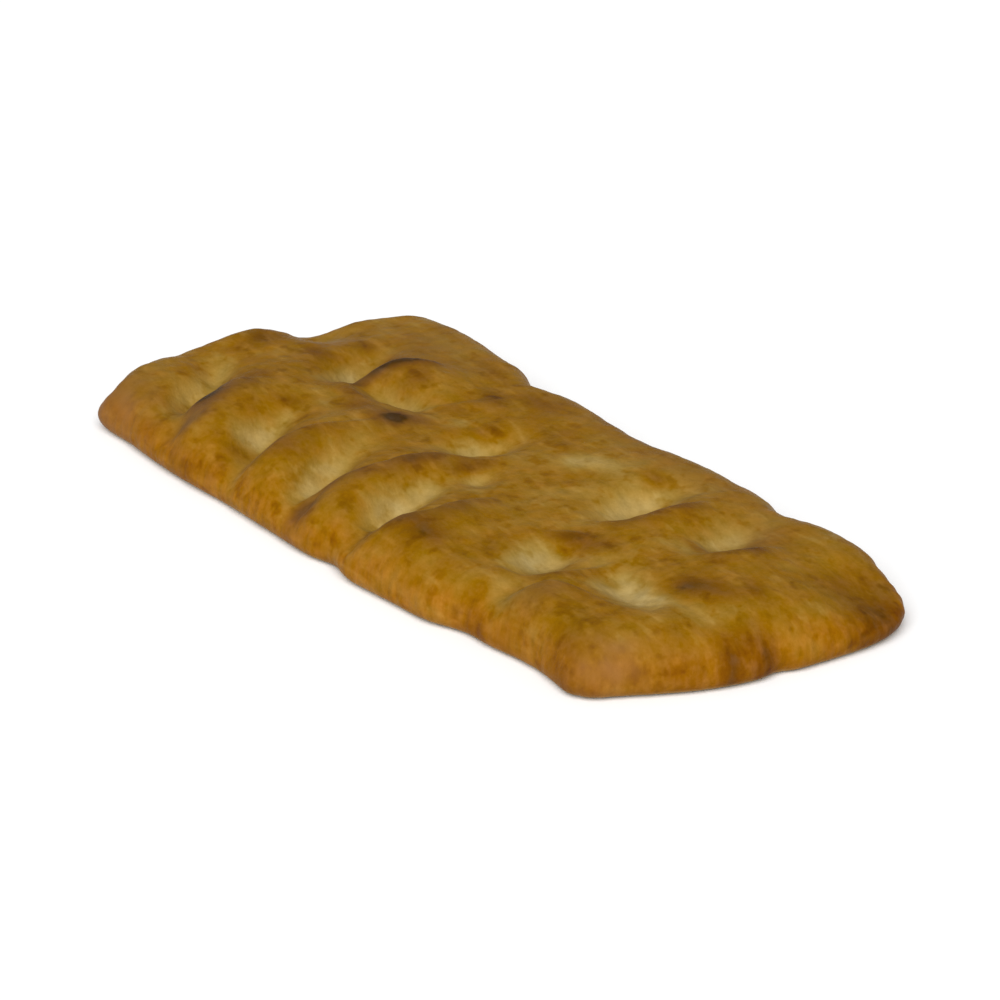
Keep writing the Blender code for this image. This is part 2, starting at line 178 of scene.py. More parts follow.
# Places where the crust is browner, or paler where tone is negative, than the crust round them
Patch = namedtuple("Patch", "x y long wide tone turn")
PATCHES = (
    # pale bottoms of the dimples, with one brown spot in the near end's, and other pale places
    Patch(-0.115, 0.010, 0.013, 0.005, -0.36, -68),
    Patch(-0.137, -0.046, 0.011, 0.005, -0.22, -58),
    Patch(-0.143, -0.032, 0.011, 0.006, -0.20, -25),
    Patch(-0.081, -0.051, 0.007, 0.0050, -0.42, -60),
    Patch(-0.082, -0.042, 0.010, 0.004, -0.16, -60),
    Patch(-0.036, -0.047, 0.013, 0.006, -0.32, -66),
    Patch(-0.030, -0.060, 0.007, 0.0045, -0.36, -66),
    Patch(0.009, -0.035, 0.012, 0.006, -0.36, -72),
    Patch(0.011, -0.052, 0.009, 0.0065, -0.36, -60),
    Patch(-0.020, 0.006, 0.014, 0.006, -0.30, 75),
    Patch(-0.073, 0.010, 0.016, 0.004, -0.25, 6),
    Patch(0.009, -0.009, 0.008, 0.005, -0.22, -60),
    Patch(0.060, 0.028, 0.019, 0.010, -0.42, -88),
    Patch(0.105, 0.038, 0.015, 0.0055, -0.32, 84),
    Patch(0.110, 0.016, 0.008, 0.004, -0.20, 0),
    Patch(0.080, -0.029, 0.016, 0.0065, -0.44, 80),
    Patch(0.072, -0.026, 0.010, 0.006, -0.16, 80),
    Patch(0.119, -0.018, 0.018, 0.0085, -0.50, -2),
    Patch(0.134, -0.016, 0.009, 0.0035, -0.34, 10),
    Patch(0.111, -0.018, 0.0035, 0.003, 0.34, 0),
    Patch(0.156, -0.011, 0.008, 0.005, -0.10, 0),
    Patch(0.090, -0.053, 0.010, 0.004, -0.20, -65),
    Patch(0.025, 0.032, 0.022, 0.007, -0.22, 50),
    Patch(0.042, 0.012, 0.014, 0.006, -0.16, 60),
    Patch(0.035, 0.034, 0.020, 0.006, -0.20, 10),
    Patch(0.114, -0.027, 0.007, 0.005, -0.24, 0),
    Patch(-0.130, -0.058, 0.008, 0.005, -0.18, -58),
    Patch(-0.152, -0.060, 0.012, 0.010, -0.12, 0),
    Patch(0.104, -0.036, 0.008, 0.006, -0.16, 0),
    # painted light: paler in the shaded fold between a dimple and the front
    Patch(-0.081, -0.060, 0.006, 0.006, -0.26, 0),
    Patch(0.105, -0.050, 0.006, 0.005, -0.12, 0),
    Patch(-0.036, 0.015, 0.007, 0.005, -0.20, 50),
    # browned spots, with the paler places between them
    Patch(-0.103, 0.026, 0.008, 0.006, 0.30, 0),
    Patch(-0.127, 0.027, 0.007, 0.006, 0.20, 0),
    Patch(-0.133, 0.005, 0.008, 0.006, 0.20, 0),
    Patch(-0.078, 0.021, 0.008, 0.005, 0.20, 0),
    Patch(-0.092, -0.030, 0.007, 0.005, 0.22, 30),
    Patch(-0.073, -0.012, 0.009, 0.006, 0.20, 30),
    Patch(-0.025, 0.020, 0.008, 0.007, 0.16, 0),
    Patch(-0.033, 0.052, 0.012, 0.008, 0.24, 0),
    Patch(-0.010, 0.038, 0.012, 0.006, 0.14, 0),
    Patch(-0.050, 0.038, 0.012, 0.007, 0.22, 0),
    Patch(0.046, -0.056, 0.012, 0.008, 0.28, 20),
    Patch(0.067, -0.044, 0.006, 0.005, 0.16, 0),
    Patch(0.050, 0.045, 0.006, 0.005, 0.30, 0),
    Patch(0.073, 0.024, 0.006, 0.005, 0.16, 0),
    Patch(0.080, 0.038, 0.009, 0.005, 0.08, 0),
    Patch(0.074, -0.010, 0.0095, 0.0060, 0.26, 50),
    Patch(0.081, -0.012, 0.010, 0.007, 0.22, 60),
    Patch(0.123, 0.034, 0.010, 0.006, 0.18, 0),
    Patch(0.136, -0.001, 0.010, 0.0070, 0.30, 56),
    Patch(0.152, 0.014, 0.0065, 0.0065, 0.28, 20),
    Patch(0.098, -0.072, 0.008, 0.004, 0.30, -70),
    Patch(0.175, 0.056, 0.023, 0.022, 0.36, 0),
    Patch(0.112, -0.053, 0.009, 0.008, 0.04, 60),
    Patch(0.160, -0.035, 0.008, 0.026, -0.06, 0),
    Patch(-0.164, -0.082, 0.030, 0.012, 0.20, 0),
    Patch(-0.108, -0.058, 0.006, 0.012, 0.16, 30),
    Patch(-0.159, -0.003, 0.008, 0.008, 0.20, 0),
    Patch(-0.119, -0.030, 0.009, 0.006, 0.18, 56),
    Patch(-0.178, -0.040, 0.006, 0.040, 0.14, 0),
    Patch(0.148, -0.060, 0.012, 0.014, 0.22, 0),
    Patch(0.146, 0.002, 0.009, 0.0060, 0.16, 50),
    Patch(0.177, 0.003, 0.007, 0.005, 0.32, 90),
    Patch(0.174, -0.012, 0.004, 0.004, 0.24, 90),
    Patch(-0.015, -0.075, 0.008, 0.005, 0.26, -75),
    Patch(-0.155, -0.006, 0.012, 0.010, 0.20, 70),
    Patch(-0.047, -0.048, 0.007, 0.006, 0.08, 0),
    Patch(-0.074, -0.062, 0.004, 0.008, 0.14, 0),
    Patch(0.002, -0.008, 0.004, 0.012, 0.26, 0),
    Patch(0.089, -0.006, 0.009, 0.006, 0.22, 60),
    Patch(0.090, -0.060, 0.008, 0.008, 0.12, 0),
    Patch(0.005, 0.034, 0.012, 0.008, 0.12, 0),
    Patch(0.112, 0.050, 0.012, 0.010, 0.06, 0),
    Patch(-0.073, 0.052, 0.012, 0.008, 0.16, 0),
    Patch(-0.093, 0.018, 0.006, 0.008, 0.12, 0),
    Patch(0.010, -0.045, 0.008, 0.005, -0.26, 0),
    Patch(0.170, 0.036, 0.010, 0.010, -0.16, 0),
    Patch(-0.070, -0.084, 0.014, 0.006, 0.10, 0),
    Patch(-0.103, -0.084, 0.016, 0.008, 0.10, 0),
    Patch(0.174, 0.030, 0.010, 0.016, 0.05, 0),
    Patch(-0.0520, -0.0066, 0.0042, 0.0036, 0.34, 50),
    Patch(-0.050, -0.004, 0.010, 0.005, 0.08, 50),
    Patch(0.172, -0.006, 0.008, 0.012, 0.18, 0),
    Patch(-0.099, 0.006, 0.005, 0.009, 0.22, 0),
    Patch(-0.166, -0.088, 0.018, 0.010, 0.10, 0),
    Patch(-0.118, -0.052, 0.006, 0.004, 0.12, 60),
    Patch(-0.089, 0.031, 0.012, 0.005, 0.14, 45),
    Patch(0.166, -0.034, 0.012, 0.014, 0.12, 0),
)

FULL_PAINTED_SHEEN = 1.20            # how browned a crest is when it would be all painted sheen
# Places besides the crests where a painted sheen, the greyish veil of grazing light, lies on the
# crust
PAINTED_SHEEN_PATCHES = (
    Patch(-0.112, -0.057, 0.009, 0.016, 0.42, 25),
    Patch(-0.102, -0.071, 0.006, 0.009, 0.35, 15),
    Patch(-0.053, -0.006, 0.014, 0.008, 0.40, 50),
    Patch(-0.110, 0.045, 0.030, 0.030, 0.22, 0),
    Patch(0.112, -0.053, 0.010, 0.008, 0.30, 60),
    Patch(-0.013, -0.074, 0.008, 0.006, 0.45, -75),
    Patch(-0.158, -0.074, 0.022, 0.012, 0.38, 0),
    Patch(0.030, 0.060, 0.070, 0.010, 0.28, 3),
    Patch(0.112, 0.048, 0.012, 0.012, 0.28, 0),
    Patch(-0.101, 0.007, 0.006, 0.009, 0.26, 0),
)

# Places with a pinkish blush, at the far front corner and low on the near one
BLUSHING = (
    Patch(-0.146, -0.080, 0.018, 0.014, 0.55, 0),
    Patch(0.157, -0.053, 0.012, 0.009, 0.50, 60),
)

# The burnt blister beside the middle of the slab
BLISTER = Mound(-0.053, -0.0065, 0.0110, 0.0058, 0.0014, 50)
BLISTER_TONE = 0.36        # how much darker than the crust round it the blister is

# Chance fields over the mesh: how broad and how tall their features are, a seed that sets each
# apart, and how much of it is used
Field = namedtuple("Field", "broad tall seed share")
LUMPS = Field(0.020, 0.020, 1, 1)
SMALL_LUMPS = Field(0.009, 0.009, 2, 0.5)
PIMPLES = Field(0.0038, 0.0038, 3, 1)
WRINKLES = Field(0.0030, 0.014, 4, 1)
BROAD_TONE = Field(0.030, 0.030, 5, 0.06)
SMALL_TONE = Field(0.011, 0.011, 6, 0.06)
SIDE_TONE = Field(0.0035, 0.018, 7, 0.05)
CREST_TONE = Field(0.008, 0.008, 8, 0.7)
BLUSH_TONE = Field(0.007, 0.007, 9, 1.2)
SEED_STEP = 17.3           # how far one seed's field lies from the next one's

SIDE_BEGIN = 0.88          # share of the full height below which the crust counts as side
SIDE_FADE = 0.45           # how far below that it counts as side altogether
SOLE_FADE = 0.45           # share of the rim's height up to which the underside's colour reaches

BUBBLE_SEED = 11
BUBBLE_SPREAD = 0.48       # how far from the middle bubbles lie, as a share of a whole side
BUBBLE_RADIUS = (0.0015, 0.0040)
BUBBLE_RISE = (0.04, 0.13)  # height of a bubble as a share of its radius

# The crust's bake: its mean tone, what a crest adds at most, and how standing out browns it
MEAN_TONE = 0.50
MOST_CREST_TONE = 0.34
STANDING_REACH = 0.010     # how far off the crust round a point is looked at
STANDING_WAYS = 8          # and in how many directions
STANDING_FULL = 0.0045     # standing out by this much browns the crust fully
STANDING_LIMITS = (-0.4, 1)
STANDING_TONE = 0.10
PAINTED_SHEEN_FADE = 0.2             # the painted sheen goes as the tone comes this close to burnt
MOST_BLUSH = 0.9

# Noises of the mottling, by features per metre, and spots with soft rims, which begin and are
# full at these values of their noise
Noise = namedtuple("Noise", "scale detail")
CLOUD = Noise(60, 2)
FLECK = Noise(240, 3)
GRAIN = Noise(800, 2)
STREAK = Noise(320, 2)
STRETCH = Noise(170, 3)
WANDER = Noise(90, 1)
Spots = namedtuple("Spots", "noise begin full")
BROWN_SPOTS = Spots(Noise(150, 2), 0.52, 0.76)
PALE_SPOTS = Spots(Noise(190, 2), 0.48, 0.26)
UPRIGHT = (1, 1, 0.16)     # scale of the places for a noise that is drawn out upwards
LENGTHWISE = (0.35, 1, 1)  # and for one that is drawn out along the slab

# Shares of the noises in the crust's tone, light, roughness and bump and in the underside's tone
TONE_SHARES = {
    "bake": 1.0, "cloud": 0.25, "fleck": 0.05, "stretch": 0.12,
    "brown_spots": 0.10, "pale_spots": -0.06, "side_streak": 0.12,
}
LIGHT_SHARES = {
    "fleck": 0.50, "grain": 0.18, "stretch": 0.50,
    "brown_spots": -0.11, "pale_spots": 0.09, "side_streak": 0.7,
}
ROUGH_SHARES = {"fleck": 0.25, "cloud": 0.20}
BUMP_SHARES = {"fleck": 0.5, "grain": 0.25, "side_streak": 0.5}
UNDER_SHARES = {"cloud": 1.6, "fleck": 0.8}
TONE_STOPS = {"dough": 0.0, "straw": 0.28, "gold": 0.52, "brown": 0.78, "burnt": 1.0}
HUE_STOPS = {"ruddy": 0.35, "mealy": 0.65}
BUMP_STRENGTH = 0.5
BUMP_DEPTH = 0.0010
HAZE_ROUGHNESS = 0.35

MATH = "ShaderNodeMath"
VECTOR_MATH = "ShaderNodeVectorMath"
MIX_FIRST, MIX_SECOND, MIX_RESULT = 6, 7, 2  # the mix node's colour sockets

FLOOR_HALF = 4.0           # half the side of the floor
FLOOR_DROP = 0.0003        # how far the floor lies below the underside
FLOOR_ROUGHNESS = 0.9
FLOOR_GLOSS = 0.1
SENSOR_WIDTH = 36          # millimetres

GRID_HALF = 0.5            # half the side of the grid before its points are put in place
NOISE_MIDDLE = 0.5         # the noises' own middle value


class FocacciaSizes(bpy.types.PropertyGroup):
    """Sizes of the slab and of its fine relief"""

    length: FloatProperty(
        name="Length", description="Long side of the slab", default=0.358, unit="LENGTH"
    )
    width: FloatProperty(
        name="Width", description="Short side of the slab", default=0.160, unit="LENGTH"
    )
    thickness: FloatProperty(
        name="Thickness", description="Height of the crust between mounds and dimples",
        default=0.0215, unit="LENGTH",
    )
    rim_height: FloatProperty(
        name="Rim Height", description="Height at which the side is widest",
        default=0.0055, unit="LENGTH",
    )
    foot_inset: FloatProperty(
        name="Foot Inset", description="How far the underside stands in from the widest line",
        default=0.0050, unit="LENGTH",
    )
    roll_far: FloatProperty(
        name="Far Roll", description="How far in the crust rolls over at the far end",
        default=0.017, unit="LENGTH",
    )
    roll_near: FloatProperty(
        name="Near Roll", description="How far in the crust rolls over at the near end",
        default=0.026, unit="LENGTH",
    )
    roll_front: FloatProperty(
        name="Front Roll", description="How far in the crust rolls over along the front",
        default=0.024, unit="LENGTH",
    )
    roll_back: FloatProperty(
        name="Back Roll", description="How far in the crust rolls over along the back",
        default=0.019, unit="LENGTH",
    )
    cell: FloatProperty(
        name="Cell", description="Spacing of the points on top of the slab",
        default=0.0009, unit="LENGTH",
    )
    roll_steps: IntProperty(
        name="Roll Steps", description="Rows of points across a rolled edge", default=26
    )
    foot_steps: IntProperty(
        name="Foot Steps", description="Rows of points below the widest line", default=8
    )
    lumps: FloatProperty(
        name="Lumps", description="Height of the soft lumps in the crust",
        default=0.0006, unit="LENGTH",
    )
    pimples: FloatProperty(
        name="Pimples", description="Height of the small uneven places in the crust",
        default=0.00022, unit="LENGTH",
    )
    wrinkles: FloatProperty(
        name="Wrinkles", description="Depth of the upright wrinkles in the sides",
        default=0.00035, unit="LENGTH",
    )
    bubbles: IntProperty(
        name="Bubbles", description="How many small bubbles lie under the crust", default=90
    )


class CrustLook(bpy.types.PropertyGroup):
    """Colours and gloss of the crust, from pale dough to dark bake"""

    dough: FloatVectorProperty(
        name="Dough", description="Unbrowned dough in the bottoms of the dimples",
        default=(0.350, 0.245, 0.086), subtype="COLOR", min=0, max=1,
    )
    straw: FloatVectorProperty(
        name="Straw", description="Lightly baked crust",
        default=(0.282, 0.172, 0.034), subtype="COLOR", min=0, max=1,
    )
    gold: FloatVectorProperty(
        name="Gold", description="Most of the crust",
        default=(0.230, 0.108, 0.0045), subtype="COLOR", min=0, max=1,
    )
    brown: FloatVectorProperty(
        name="Brown", description="Browned crests and spots",
        default=(0.144, 0.058, 0.0015), subtype="COLOR", min=0, max=1,
    )
    # Painted sheen: the dull, greyish purple that grazing light gives the crests, painted into the
    # colour
    painted_sheen: FloatVectorProperty(
        name="Painted Sheen", description="Dull, purplish brown that lies on the hardest baked crests",
        default=(0.150, 0.076, 0.028), subtype="COLOR", min=0, max=1,
    )
    blush: FloatVectorProperty(
        name="Blush", description="Pinkish cast of two of the corners",
        default=(0.222, 0.113, 0.034), subtype="COLOR", min=0, max=1,
    )
    burnt: FloatVectorProperty(
        name="Burnt", description="The darkest spots",
        default=(0.050, 0.024, 0.0060), subtype="COLOR", min=0, max=1,
    )
    warmth: FloatVectorProperty(
        name="Side Warmth", description="Tint of the sides of the slab",
        default=(1.10, 0.95, 0.80), subtype="COLOR", min=0, max=1.5,
    )
    ruddy: FloatVectorProperty(
        name="Ruddy Tint", description="Tint of the redder places that are scattered all over",
        default=(1.02, 0.98, 0.85), subtype="COLOR", min=0, max=1.5,
    )
    mealy: FloatVectorProperty(
        name="Mealy Tint", description="Tint of the greyer places that are scattered all over",
        default=(0.985, 1.015, 1.06), subtype="COLOR", min=0, max=1.5,
    )
    flour: FloatVectorProperty(
        name="Flour",
        description="Greyness that the lighter flecks add and the darker ones take",
        default=(0.0, 0.030, 0.050), subtype="COLOR", min=0, max=1,
    )
    sole: FloatVectorProperty(
        name="Sole", description="Colour of the underside, which lay on the tray",
        default=(0.340, 0.215, 0.070), subtype="COLOR", min=0, max=1,
    )
    roughness: FloatProperty(
        name="Roughness", description="How dull the crust is", default=0.5, min=0, max=1
    )
    gloss: FloatProperty(
        name="Gloss", description="How strongly the crust mirrors light",
        default=0.03, min=0, max=1,
    )
    haze: FloatProperty(
        name="Haze", description="Dull veil where the crust is seen at a grazing angle",
        default=0.03, min=0, max=1,
    )


class StageLook(bpy.types.PropertyGroup):
    """Floor, light and camera"""

    floor: FloatVectorProperty(
        name="Floor", description="Colour of the floor",
        default=(0.90, 0.90, 0.90), subtype="COLOR", min=0, max=1,
    )
    sky: FloatProperty(
        name="Sky", description="Strength of the even light from all round", default=0.30, min=0
    )
    key_strength: FloatProperty(
        name="Key Light", description="Strength of the broad soft light", default=3.85, min=0
    )
    key_spread: FloatProperty(
        name="Key Spread", description="How broad the soft light looks from the slab",
        default=math.radians(60), subtype="ANGLE",
    )
    key_azimuth: FloatProperty(
        name="Key Azimuth", description="Way the large light comes from, turned from the front",
        default=math.radians(48), subtype="ANGLE",
    )
    key_elevation: FloatProperty(
        name="Key Elevation", description="Height of the large light over the floor",
        default=math.radians(46), subtype="ANGLE",
    )
    azimuth: FloatProperty(
        name="Camera Azimuth", description="Way the camera stands, turned from the front",
        default=math.radians(56), subtype="ANGLE",
    )
    elevation: FloatProperty(
        name="Camera Elevation", description="Height of the camera over the floor",
        default=math.radians(24), subtype="ANGLE",
    )
    distance: FloatProperty(
        name="Camera Distance", description="From the camera to the place it looks at",
        default=1.61, unit="LENGTH",
    )
    aim: FloatVectorProperty(
        name="Aim", description="Place that the camera looks at",
        default=(-0.0032, 0.0100, 0.0021), subtype="TRANSLATION", unit="LENGTH",
    )
    lens: FloatProperty(
        name="Lens", description="Focal length in millimetres", default=150, min=1
    )


def hump(x, y, place):
    """1 at the middle of an oval place, falling smoothly to 0 outside it."""
    turn = math.radians(place.turn)
    along = (x - place.x) * math.cos(turn) + (y - place.y) * math.sin(turn)
    across = (y - place.y) * math.cos(turn) - (x - place.x) * math.sin(turn)
    return np.exp(-((along / place.long) ** 2) - (across / place.wide) ** 2)


def crust_height(sizes, x, y):
    """Height of the top crust before its edges roll over, without the crests."""
    z = np.full_like(x, sizes.thickness)
    for mound in MOUNDS:
        z += mound.height * hump(x, y, mound)
    for dimple in (*DIMPLES, *FOLDS):
        z -= dimple.depth * hump(x, y, dimple)
    return z


def softened(points):
    """The line through the points with its corners cut again and again."""
    line = np.array(points)
    for _ in range(CREST_CUTS):
        early = (1 - CREST_CUT_SHARE) * line[:-1] + CREST_CUT_SHARE * line[1:]
        late = CREST_CUT_SHARE * line[:-1] + (1 - CREST_CUT_SHARE) * line[1:]
        between = np.stack([early, late], axis=1).reshape(-1, 2)
        line = np.concatenate([line[:1], between, line[-1:]])
    return line


def crest_gap(x, y, crest):
    """Gap to the crest's line, positive on its mound, and its strength, fading at its ends."""
    line = softened(crest.points)
    steps = np.diff(line, axis=0)
    lengths = np.hypot(*steps.T)
    done = np.concatenate([[0], np.cumsum(lengths)])
    gap = np.full_like(x, np.inf)
    right = np.ones_like(x)
    place = np.zeros_like(x)
    for start, step, length, before in zip(line, steps, lengths, done):
        share = ((x - start[0]) * step[0] + (y - start[1]) * step[1]) / length**2
        share = np.clip(share, 0, 1)
        away_x = x - start[0] - share * step[0]
        away_y = y - start[1] - share * step[1]
        here = np.hypot(away_x, away_y)
        nearer = here < gap
        gap = np.where(nearer, here, gap)
        right = np.where(nearer, np.sign(away_x * step[1] - away_y * step[0]), right)
        place = np.where(nearer, before + share * length, place)
    strength = np.sqrt(np.sin(math.pi * place / done[-1]).clip(0, 1))
    return gap * right, strength


def crest_parts(x, y):
    """Height that the crests add, how browned they are, and where they hide a dimple."""
    height, brown, cover = np.zeros_like(x), np.zeros_like(x), np.zeros_like(x)
    for crest in CRESTS:
        line = np.array(crest.points)
        low, high = line.min(0) - CREST_REACH, line.max(0) + CREST_REACH
        close = (x > low[0]) & (x < high[0]) & (y > low[1]) & (y < high[1])
        gap, strength = crest_gap(x[close], y[close], crest)
        top = (1 + np.tanh((gap + CREST_LEAD) / CREST_STEP)) / 2
        rise = crest.rise * top * np.exp(-((gap.clip(0) / crest.broad) ** 2))
        drop = crest.drop * (1 - top) * np.exp(-(((gap + CREST_FOOT) / CREST_FOOT_REACH) ** 2))
        height[close] += strength * (rise - drop)
        over = (1 + np.tanh(gap / CREST_STEP)) / 2
        reach = CREST_BROWN_REACH * crest.broad
        band = strength * over * np.exp(-((gap.clip(0) / reach) ** CREST_BROWN_POWER))
        brown[close] += crest.dark * band
        cover[close] = np.maximum(cover[close], band)
    return height, brown, cover


def side_push(side, along, share):
    """How far one side's bulges push a point out. share is 1 on that side, 0 at the middle."""
    push = np.zeros_like(along)
    for bulge in BULGES:
        if bulge.side == side:
            push += bulge.out * np.exp(-(((along - bulge.at) / bulge.reach) ** 2))
    return push * np.clip(share, 0, 1) ** BULGE_FADE


def plan(sizes, u, v):
    """Place in plan of points given as shares, -1 to 1, of the half length and half width."""
    half_x, half_y = sizes.length / 2, sizes.width / 2
    x, y = half_x * u, half_y * v
    for (east, north), radius in CORNER_RADIUS.items():
        here = (np.where(u < 0, -1, 1) == east) & (np.where(v < 0, -1, 1) == north)
        cut_x = CORNER_CUT * radius / half_x
        cut_y = CORNER_CUT * radius / half_y
        fall = math.sqrt((1 - cut_x) * (1 - cut_y)) / (CORNER_CUT * radius)
        x = np.where(here, half_x * u * (1 - cut_x * np.abs(v) ** (fall * half_y)), x)
        y = np.where(here, half_y * v * (1 - cut_y * np.abs(u) ** (fall * half_x)), y)
    pushed_x = x + side_push("near", y, u) - side_push("far", y, -u)
    pushed_y = y + side_push("back", x, v) - side_push("front", x, -v)
    return pushed_x, pushed_y


def rolled(gap, width):
    """Share of the full height reached at a gap in from the widest line."""
    left = 1 - np.clip(gap / width, 0, 1)
    return np.sqrt(1 - left**ROLL_POWER)


def edge_share(sizes, u, v):
    """Share of the full height that the rolled edges leave."""
    end_roll = np.where(u < 0, sizes.roll_far, sizes.roll_near)
    side_roll = np.where(v < 0, sizes.roll_front, sizes.roll_back)
    ends = rolled((1 - np.abs(u)) * sizes.length / 2, end_roll)
    sides = rolled((1 - np.abs(v)) * sizes.width / 2, side_roll)
    return ends * sides


def grid_lines(sizes, size, roll_low, roll_high):
    """Shares from -1 to 1 where the grid's lines run, closer together in the rolled edges."""
    half = size / 2
    steps = sizes.roll_steps
    inward = [1 - math.cos(math.pi / 2 * step / steps) for step in range(steps)]
    low = [-1 + roll_low / half * share for share in inward]
    high = [1 - roll_high / half * share for share in reversed(inward)]
    cells = round((size - roll_low - roll_high) / sizes.cell)
    middle = np.linspace(-1 + roll_low / half, 1 - roll_high / half, cells + 1)
    return np.array([*low, *middle, *high])


def add_top(bm, sizes):
    """The dimpled top crust down to the widest line. Returns the points' shares of full height."""
    us = grid_lines(sizes, sizes.length, sizes.roll_far, sizes.roll_near)
    vs = grid_lines(sizes, sizes.width, sizes.roll_front, sizes.roll_back)
    bmesh.ops.create_grid(bm, x_segments=len(us) - 1, y_segments=len(vs) - 1, size=GRID_HALF)
    column = np.array([round((vert.co.x + GRID_HALF) * (len(us) - 1)) for vert in bm.verts])
    row = np.array([round((vert.co.y + GRID_HALF) * (len(vs) - 1)) for vert in bm.verts])
    u, v = us[column], vs[row]
    x, y = plan(sizes, u, v)
    full = crust_height(sizes, x, y) + crest_parts(x, y)[0] - sizes.rim_height
    share = edge_share(sizes, u, v)
    z = sizes.rim_height + full * share
    for vert, place in zip(bm.verts, zip(x, y, z)):
        vert.co = place
    return share


def add_foot(bm, sizes):
    """The lower part of the side, drawn in from the widest line, and the flat underside."""
    rim = [edge for edge in bm.edges if edge.is_boundary]
    for step in range(1, sizes.foot_steps + 1):
        before = math.pi / 2 * (step - 1) / sizes.foot_steps
        now = math.pi / 2 * step / sizes.foot_steps
        inward = sizes.foot_inset * (math.cos(before) - math.cos(now))
        made = bmesh.ops.extrude_edge_only(bm, edges=rim)["geom"]
        rim = [part for part in made if isinstance(part, bmesh.types.BMEdge)]
        for vert in (part for part in made if isinstance(part, bmesh.types.BMVert)):
            vert.co.x *= 1 - inward / (sizes.length / 2)
            vert.co.y *= 1 - inward / (sizes.width / 2)
            vert.co.z = sizes.rim_height * (1 - math.sin(now))
    bmesh.ops.contextual_create(bm, geom=rim)


def centre(bm):
    """Moves the slab so that the middle of its outline is over the origin."""
    xs = [vert.co.x for vert in bm.verts]
    ys = [vert.co.y for vert in bm.verts]
    shift = Vector((-(min(xs) + max(xs)) / 2, -(min(ys) + max(ys)) / 2, 0))
    bmesh.ops.translate(bm, verts=bm.verts, vec=shift)


def chance(points, field):
    """Smooth chance values round zero at the points."""
    size = np.array((field.broad, field.broad, field.tall))
    scaled = points / size + field.seed * SEED_STEP
    return field.share * np.array([noise.noise(Vector(point)) for point in scaled])


def side_share(share, count):
    """1 on the sides of the slab and below them, fading to 0 on top."""
    side = np.ones(count)
    side[: len(share)] = np.clip((SIDE_BEGIN - share) / SIDE_FADE, 0, 1)
    return side


def bubble_field(points, sizes):
    """Small bubbles that lift the crust, scattered by a fixed seed."""
    spots = np.random.default_rng(BUBBLE_SEED)
    lift = np.zeros(len(points))
    for _ in range(sizes.bubbles):
        x = spots.uniform(-BUBBLE_SPREAD, BUBBLE_SPREAD) * sizes.length
        y = spots.uniform(-BUBBLE_SPREAD, BUBBLE_SPREAD) * sizes.width
        radius = spots.uniform(*BUBBLE_RADIUS)
        height = radius * spots.uniform(*BUBBLE_RISE)
        gap = ((points[:, 0] - x) ** 2 + (points[:, 1] - y) ** 2) / radius**2
        lift += height * np.exp(-gap)
    return lift


def fine_relief(points, side, sizes):
    """How far each point of the crust stands out of the smooth form."""
    relief = sizes.lumps * (chance(points, LUMPS) + chance(points, SMALL_LUMPS))
    relief += sizes.pimples * chance(points, PIMPLES)
    relief += side * sizes.wrinkles * chance(points, WRINKLES)
    relief += (1 - side) * bubble_field(points, sizes)
    relief += BLISTER.height * hump(points[:, 0], points[:, 1], BLISTER)
    above = np.clip(points[:, 2] / sizes.rim_height, 0, 1)
    return relief * above


def standing_out(sizes, x, y):
    """How far the crust stands above the crust round it, negative in dimples."""
    around = np.zeros_like(x)
    for way in range(STANDING_WAYS):
        turn = 2 * math.pi * way / STANDING_WAYS
        away_x, away_y = STANDING_REACH * math.cos(turn), STANDING_REACH * math.sin(turn)
        around += crust_height(sizes, x + away_x, y + away_y)
    return crust_height(sizes, x, y) - around / STANDING_WAYS


def bake_tone(points, side, sizes):
    """How far each point is baked, 0 pale dough to 1 burnt, and how much painted sheen of grazing
    light lies on it.
    """
    x, y = points[:, 0], points[:, 1]
    brown, cover = crest_parts(x, y)[1:]
    brown *= 1 + chance(points, CREST_TONE)
    # painted sheen: the greyish veil of grazing light, painted on the crests as far as they are
    # browned
    painted_sheen = brown / FULL_PAINTED_SHEEN
    for patch in PAINTED_SHEEN_PATCHES:
        painted_sheen += patch.tone * hump(x, y, patch)
    tone = MEAN_TONE + np.minimum(brown, MOST_CREST_TONE)
    standing = np.clip(standing_out(sizes, x, y) / STANDING_FULL, *STANDING_LIMITS)
    tone += STANDING_TONE * standing
    for patch in PATCHES:
        shown = 1 if patch.tone > 0 else 1 - cover
        tone += patch.tone * shown * hump(x, y, patch)
    tone += chance(points, BROAD_TONE) + chance(points, SMALL_TONE)
    tone += side * chance(points, SIDE_TONE)
    tone += BLISTER_TONE * hump(x, y, BLISTER)
    unburnt = np.clip((1 - tone) / PAINTED_SHEEN_FADE, 0, 1)
    return np.clip(tone, 0, 1), np.clip(painted_sheen, 0, 1) * unburnt


def blush_share(points):
    """How much of the pinkish blush lies on each point, broken up a little."""
    share = np.zeros(len(points))
    for patch in BLUSHING:
        share += patch.tone * hump(points[:, 0], points[:, 1], patch)
    return np.clip(share * (1 + chance(points, BLUSH_TONE)), 0, MOST_BLUSH)


def node(tree, kind, **settings):
    """A new node with its own settings."""
    made = tree.nodes.new(kind)
    for name, value in settings.items():
        setattr(made, name, value)
    return made


def feed(tree, socket, value):
    """Joins an output to a socket, or sets the socket to a plain value."""
    if isinstance(value, bpy.types.NodeSocket):
        tree.links.new(value, socket)
    else:
        socket.default_value = value


def worked_out(tree, kind, operation, *values):
    """What a node of the given kind makes of outputs and plain values."""
    made = node(tree, kind, operation=operation)
    for socket, value in zip(made.inputs, values):
        feed(tree, socket, value)
    return made.outputs[0]


